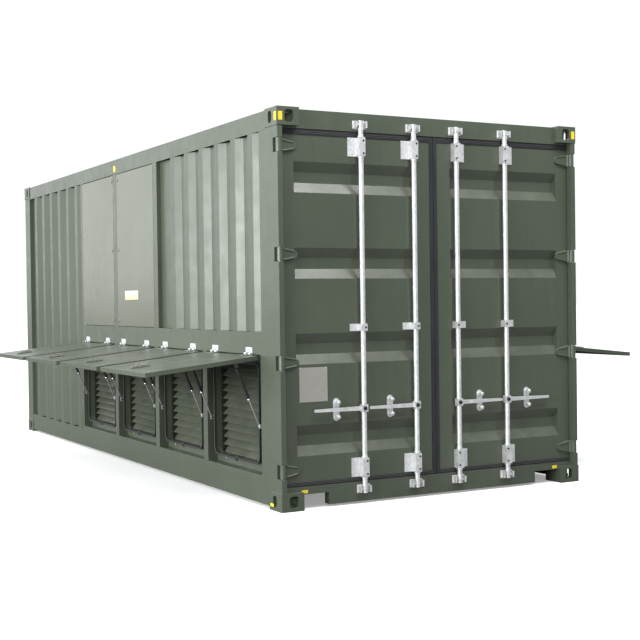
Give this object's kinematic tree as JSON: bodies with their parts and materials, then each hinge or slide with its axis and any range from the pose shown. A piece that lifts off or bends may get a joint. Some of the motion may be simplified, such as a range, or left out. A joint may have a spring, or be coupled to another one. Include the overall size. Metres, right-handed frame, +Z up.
{
  "type": "generator load bank",
  "caption": "Load bank in a steel freight container, with propped intake flaps low on both sides, outlet doors above and cargo doors at one end.",
  "frame": {"origin": "bottom centre of the container, on the plane of the bottom castings' feet", "axes": "+Z up, -Y out of the cargo doors, -X and +X out of the two long sides"},
  "size_m": [4.0274, 6.058, 2.591],
  "materials": {
    "olive_paint": "satin",
    "outlet_paint": "gloss",
    "galvanised": "bright galvanised",
    "rubber_black": "matte",
    "strut_black": "gloss black",
    "rod_chrome": "polished",
    "bare_steel": "satin",
    "fan_alu": "satin",
    "cabinet_paint": "satin",
    "latch_steel": "satin"
  },
  "bodies": {
    "container": {"corner_castings": "olive_paint", "container_frame": "olive_paint", "wall_panels": "olive_paint", "roof_panel": "olive_paint", "floor_base": "olive_paint", "intake_frames": "olive_paint", "intake_seals": "rubber_black", "intake_louvres": "olive_paint", "frame_hardware": "galvanised", "fan_deck": "bare_steel", "resistor_banks": "bare_steel", "control_cabinet": "cabinet_paint"},
    "left_door": {"left_door_panel": "olive_paint", "left_door_gasket": "rubber_black", "left_door_fittings": "galvanised"},
    "left_inner_lock_rod": {"left_inner_lock_rod": "galvanised"},
    "left_outer_lock_rod": {"left_outer_lock_rod": "galvanised"},
    "left_front_outlet_door": {"left_front_outlet_door": "outlet_paint"},
    "left_rear_outlet_door": {"left_rear_outlet_door": "outlet_paint"},
    "flap_left_1": {"flap_left_1": "olive_paint"},
    "flap_latch_left_1": {"flap_latch_left_1": "latch_steel"},
    "strut_cylinder_left_1": {"strut_cylinder_left_1": "strut_black"},
    "strut_rod_left_1": {"strut_rod_left_1": "rod_chrome"},
    "flap_left_2": {"flap_left_2": "olive_paint"},
    "flap_latch_left_2": {"flap_latch_left_2": "latch_steel"},
    "strut_cylinder_left_2": {"strut_cylinder_left_2": "strut_black"},
    "strut_rod_left_2": {"strut_rod_left_2": "rod_chrome"},
    "flap_left_3": {"flap_left_3": "olive_paint"},
    "flap_latch_left_3": {"flap_latch_left_3": "latch_steel"},
    "strut_cylinder_left_3": {"strut_cylinder_left_3": "strut_black"},
    "strut_rod_left_3": {"strut_rod_left_3": "rod_chrome"},
    "flap_left_4": {"flap_left_4": "olive_paint"},
    "flap_latch_left_4": {"flap_latch_left_4": "latch_steel"},
    "strut_cylinder_left_4": {"strut_cylinder_left_4": "strut_black"},
    "strut_rod_left_4": {"strut_rod_left_4": "rod_chrome"},
    "right_door": {"right_door_panel": "olive_paint", "right_door_gasket": "rubber_black", "right_door_fittings": "galvanised"},
    "right_inner_lock_rod": {"right_inner_lock_rod": "galvanised"},
    "right_outer_lock_rod": {"right_outer_lock_rod": "galvanised"},
    "right_front_outlet_door": {"right_front_outlet_door": "outlet_paint"},
    "right_rear_outlet_door": {"right_rear_outlet_door": "outlet_paint"},
    "flap_right_1": {"flap_right_1": "olive_paint"},
    "flap_latch_right_1": {"flap_latch_right_1": "latch_steel"},
    "strut_cylinder_right_1": {"strut_cylinder_right_1": "strut_black"},
    "strut_rod_right_1": {"strut_rod_right_1": "rod_chrome"},
    "flap_right_2": {"flap_right_2": "olive_paint"},
    "flap_latch_right_2": {"flap_latch_right_2": "latch_steel"},
    "strut_cylinder_right_2": {"strut_cylinder_right_2": "strut_black"},
    "strut_rod_right_2": {"strut_rod_right_2": "rod_chrome"},
    "flap_right_3": {"flap_right_3": "olive_paint"},
    "flap_latch_right_3": {"flap_latch_right_3": "latch_steel"},
    "strut_cylinder_right_3": {"strut_cylinder_right_3": "strut_black"},
    "strut_rod_right_3": {"strut_rod_right_3": "rod_chrome"},
    "flap_right_4": {"flap_right_4": "olive_paint"},
    "flap_latch_right_4": {"flap_latch_right_4": "latch_steel"},
    "strut_cylinder_right_4": {"strut_cylinder_right_4": "strut_black"},
    "strut_rod_right_4": {"strut_rod_right_4": "rod_chrome"},
    "fan_rotor_1": {"fan_rotor_1": "fan_alu"},
    "fan_rotor_2": {"fan_rotor_2": "fan_alu"}
  },
  "joints": [
    {"name": "left_door_hinge", "type": "hinge", "parent": "container", "child": "left_door", "pos_m": [-1.195, -3.005, 1.3], "axis": [0, 0, -1], "range_deg": [0, 180]},
    {"name": "left_inner_rod_turn", "type": "hinge", "parent": "left_door", "child": "left_inner_lock_rod", "pos_m": [-0.175, -3.008, 0.635], "axis": [0, 0, 1], "range_deg": [0, 95]},
    {"name": "left_outer_rod_turn", "type": "hinge", "parent": "left_door", "child": "left_outer_lock_rod", "pos_m": [-0.59, -3.008, 0.635], "axis": [0, 0, 1], "range_deg": [0, 95]},
    {"name": "left_front_outlet_hinge", "type": "hinge", "parent": "container", "child": "left_front_outlet_door", "pos_m": [-1.203, -0.787, 1.8], "axis": [0, 0, 1], "range_deg": [0, 110]},
    {"name": "left_rear_outlet_hinge", "type": "hinge", "parent": "container", "child": "left_rear_outlet_door", "pos_m": [-1.203, 1.023, 1.8], "axis": [0, 0, -1], "range_deg": [0, 110]},
    {"name": "flap_hinge_left_1", "type": "hinge", "parent": "container", "child": "flap_left_1", "pos_m": [-1.226, -2.286, 1.003], "axis": [0, -1, 0], "range_deg": [0, 84]},
    {"name": "flap_latch_turn_left_1", "type": "hinge", "parent": "flap_left_1", "child": "flap_latch_left_1", "pos_m": [-1.88443, -2.286, 0.92475], "axis": [-0.1045, 0, 0.9945], "range_deg": [0, 90]},
    {"name": "strut_pivot_left_1", "type": "hinge", "parent": "flap_left_1", "child": "strut_cylinder_left_1", "pos_m": [-1.37011, -2.286, 0.92953], "axis": [0, 1, 0], "range_deg": [0, 112.43]},
    {"name": "strut_slide_left_1", "type": "slide", "parent": "strut_cylinder_left_1", "child": "strut_rod_left_1", "axis": [-0.3802, 0, 0.9249], "range_m": [0, 0.10878]},
    {"name": "flap_hinge_left_2", "type": "hinge", "parent": "container", "child": "flap_left_2", "pos_m": [-1.226, -1.316, 1.003], "axis": [0, -1, 0], "range_deg": [0, 84]},
    {"name": "flap_latch_turn_left_2", "type": "hinge", "parent": "flap_left_2", "child": "flap_latch_left_2", "pos_m": [-1.88443, -1.316, 0.92475], "axis": [-0.1045, 0, 0.9945], "range_deg": [0, 90]},
    {"name": "strut_pivot_left_2", "type": "hinge", "parent": "flap_left_2", "child": "strut_cylinder_left_2", "pos_m": [-1.37011, -1.316, 0.92953], "axis": [0, 1, 0], "range_deg": [0, 112.43]},
    {"name": "strut_slide_left_2", "type": "slide", "parent": "strut_cylinder_left_2", "child": "strut_rod_left_2", "axis": [-0.3802, 0, 0.9249], "range_m": [0, 0.10878]},
    {"name": "flap_hinge_left_3", "type": "hinge", "parent": "container", "child": "flap_left_3", "pos_m": [-1.226, -0.346, 1.003], "axis": [0, -1, 0], "range_deg": [0, 84]},
    {"name": "flap_latch_turn_left_3", "type": "hinge", "parent": "flap_left_3", "child": "flap_latch_left_3", "pos_m": [-1.88443, -0.346, 0.92475], "axis": [-0.1045, 0, 0.9945], "range_deg": [0, 90]},
    {"name": "strut_pivot_left_3", "type": "hinge", "parent": "flap_left_3", "child": "strut_cylinder_left_3", "pos_m": [-1.37011, -0.346, 0.92953], "axis": [0, 1, 0], "range_deg": [0, 112.43]},
    {"name": "strut_slide_left_3", "type": "slide", "parent": "strut_cylinder_left_3", "child": "strut_rod_left_3", "axis": [-0.3802, 0, 0.9249], "range_m": [0, 0.10878]},
    {"name": "flap_hinge_left_4", "type": "hinge", "parent": "container", "child": "flap_left_4", "pos_m": [-1.226, 0.624, 1.003], "axis": [0, -1, 0], "range_deg": [0, 84]},
    {"name": "flap_latch_turn_left_4", "type": "hinge", "parent": "flap_left_4", "child": "flap_latch_left_4", "pos_m": [-1.88443, 0.624, 0.92475], "axis": [-0.1045, 0, 0.9945], "range_deg": [0, 90]},
    {"name": "strut_pivot_left_4", "type": "hinge", "parent": "flap_left_4", "child": "strut_cylinder_left_4", "pos_m": [-1.37011, 0.624, 0.92953], "axis": [0, 1, 0], "range_deg": [0, 112.43]},
    {"name": "strut_slide_left_4", "type": "slide", "parent": "strut_cylinder_left_4", "child": "strut_rod_left_4", "axis": [-0.3802, 0, 0.9249], "range_m": [0, 0.10878]},
    {"name": "right_door_hinge", "type": "hinge", "parent": "container", "child": "right_door", "pos_m": [1.195, -3.005, 1.3], "axis": [0, 0, 1], "range_deg": [0, 180]},
    {"name": "right_inner_rod_turn", "type": "hinge", "parent": "right_door", "child": "right_inner_lock_rod", "pos_m": [0.175, -3.008, 0.635], "axis": [0, 0, -1], "range_deg": [0, 95]},
    {"name": "right_outer_rod_turn", "type": "hinge", "parent": "right_door", "child": "right_outer_lock_rod", "pos_m": [0.59, -3.008, 0.635], "axis": [0, 0, -1], "range_deg": [0, 95]},
    {"name": "right_front_outlet_hinge", "type": "hinge", "parent": "container", "child": "right_front_outlet_door", "pos_m": [1.203, -0.787, 1.8], "axis": [0, 0, -1], "range_deg": [0, 110]},
    {"name": "right_rear_outlet_hinge", "type": "hinge", "parent": "container", "child": "right_rear_outlet_door", "pos_m": [1.203, 1.023, 1.8], "axis": [0, 0, 1], "range_deg": [0, 110]},
    {"name": "flap_hinge_right_1", "type": "hinge", "parent": "container", "child": "flap_right_1", "pos_m": [1.226, -2.286, 1.003], "axis": [0, 1, 0], "range_deg": [0, 84]},
    {"name": "flap_latch_turn_right_1", "type": "hinge", "parent": "flap_right_1", "child": "flap_latch_right_1", "pos_m": [1.88443, -2.286, 0.92475], "axis": [0.1045, 0, 0.9945], "range_deg": [0, 90]},
    {"name": "strut_pivot_right_1", "type": "hinge", "parent": "flap_right_1", "child": "strut_cylinder_right_1", "pos_m": [1.37011, -2.286, 0.92953], "axis": [0, -1, 0], "range_deg": [0, 112.43]},
    {"name": "strut_slide_right_1", "type": "slide", "parent": "strut_cylinder_right_1", "child": "strut_rod_right_1", "axis": [0.3802, 0, 0.9249], "range_m": [0, 0.10878]},
    {"name": "flap_hinge_right_2", "type": "hinge", "parent": "container", "child": "flap_right_2", "pos_m": [1.226, -1.316, 1.003], "axis": [0, 1, 0], "range_deg": [0, 84]},
    {"name": "flap_latch_turn_right_2", "type": "hinge", "parent": "flap_right_2", "child": "flap_latch_right_2", "pos_m": [1.88443, -1.316, 0.92475], "axis": [0.1045, 0, 0.9945], "range_deg": [0, 90]},
    {"name": "strut_pivot_right_2", "type": "hinge", "parent": "flap_right_2", "child": "strut_cylinder_right_2", "pos_m": [1.37011, -1.316, 0.92953], "axis": [0, -1, 0], "range_deg": [0, 112.43]},
    {"name": "strut_slide_right_2", "type": "slide", "parent": "strut_cylinder_right_2", "child": "strut_rod_right_2", "axis": [0.3802, 0, 0.9249], "range_m": [0, 0.10878]},
    {"name": "flap_hinge_right_3", "type": "hinge", "parent": "container", "child": "flap_right_3", "pos_m": [1.226, -0.346, 1.003], "axis": [0, 1, 0], "range_deg": [0, 84]},
    {"name": "flap_latch_turn_right_3", "type": "hinge", "parent": "flap_right_3", "child": "flap_latch_right_3", "pos_m": [1.88443, -0.346, 0.92475], "axis": [0.1045, 0, 0.9945], "range_deg": [0, 90]},
    {"name": "strut_pivot_right_3", "type": "hinge", "parent": "flap_right_3", "child": "strut_cylinder_right_3", "pos_m": [1.37011, -0.346, 0.92953], "axis": [0, -1, 0], "range_deg": [0, 112.43]},
    {"name": "strut_slide_right_3", "type": "slide", "parent": "strut_cylinder_right_3", "child": "strut_rod_right_3", "axis": [0.3802, 0, 0.9249], "range_m": [0, 0.10878]},
    {"name": "flap_hinge_right_4", "type": "hinge", "parent": "container", "child": "flap_right_4", "pos_m": [1.226, 0.624, 1.003], "axis": [0, 1, 0], "range_deg": [0, 84]},
    {"name": "flap_latch_turn_right_4", "type": "hinge", "parent": "flap_right_4", "child": "flap_latch_right_4", "pos_m": [1.88443, 0.624, 0.92475], "axis": [0.1045, 0, 0.9945], "range_deg": [0, 90]},
    {"name": "strut_pivot_right_4", "type": "hinge", "parent": "flap_right_4", "child": "strut_cylinder_right_4", "pos_m": [1.37011, 0.624, 0.92953], "axis": [0, -1, 0], "range_deg": [0, 112.43]},
    {"name": "strut_slide_right_4", "type": "slide", "parent": "strut_cylinder_right_4", "child": "strut_rod_right_4", "axis": [0.3802, 0, 0.9249], "range_m": [0, 0.10878]},
    {"name": "fan_spin_1", "type": "hinge", "parent": "container", "child": "fan_rotor_1", "pos_m": [0, -0.3625, 1.206], "axis": [0, 0, 1], "continuous": true},
    {"name": "fan_spin_2", "type": "hinge", "parent": "container", "child": "fan_rotor_2", "pos_m": [0, 0.6005, 1.206], "axis": [0, 0, 1], "continuous": true}
  ],
  "couplings": [
    {"joint": "strut_pivot_left_1", "follows": "flap_hinge_left_1", "ratio": 1.3383},
    {"joint": "strut_slide_left_1", "follows": "flap_hinge_left_1", "m_per_rad": 0.074132},
    {"joint": "strut_pivot_left_2", "follows": "flap_hinge_left_2", "ratio": 1.3383},
    {"joint": "strut_slide_left_2", "follows": "flap_hinge_left_2", "m_per_rad": 0.074132},
    {"joint": "strut_pivot_left_3", "follows": "flap_hinge_left_3", "ratio": 1.3383},
    {"joint": "strut_slide_left_3", "follows": "flap_hinge_left_3", "m_per_rad": 0.074132},
    {"joint": "strut_pivot_left_4", "follows": "flap_hinge_left_4", "ratio": 1.3383},
    {"joint": "strut_slide_left_4", "follows": "flap_hinge_left_4", "m_per_rad": 0.074132},
    {"joint": "strut_pivot_right_1", "follows": "flap_hinge_right_1", "ratio": 1.3383},
    {"joint": "strut_slide_right_1", "follows": "flap_hinge_right_1", "m_per_rad": 0.074132},
    {"joint": "strut_pivot_right_2", "follows": "flap_hinge_right_2", "ratio": 1.3383},
    {"joint": "strut_slide_right_2", "follows": "flap_hinge_right_2", "m_per_rad": 0.074132},
    {"joint": "strut_pivot_right_3", "follows": "flap_hinge_right_3", "ratio": 1.3383},
    {"joint": "strut_slide_right_3", "follows": "flap_hinge_right_3", "m_per_rad": 0.074132},
    {"joint": "strut_pivot_right_4", "follows": "flap_hinge_right_4", "ratio": 1.3383},
    {"joint": "strut_slide_right_4", "follows": "flap_hinge_right_4", "m_per_rad": 0.074132}
  ]
}
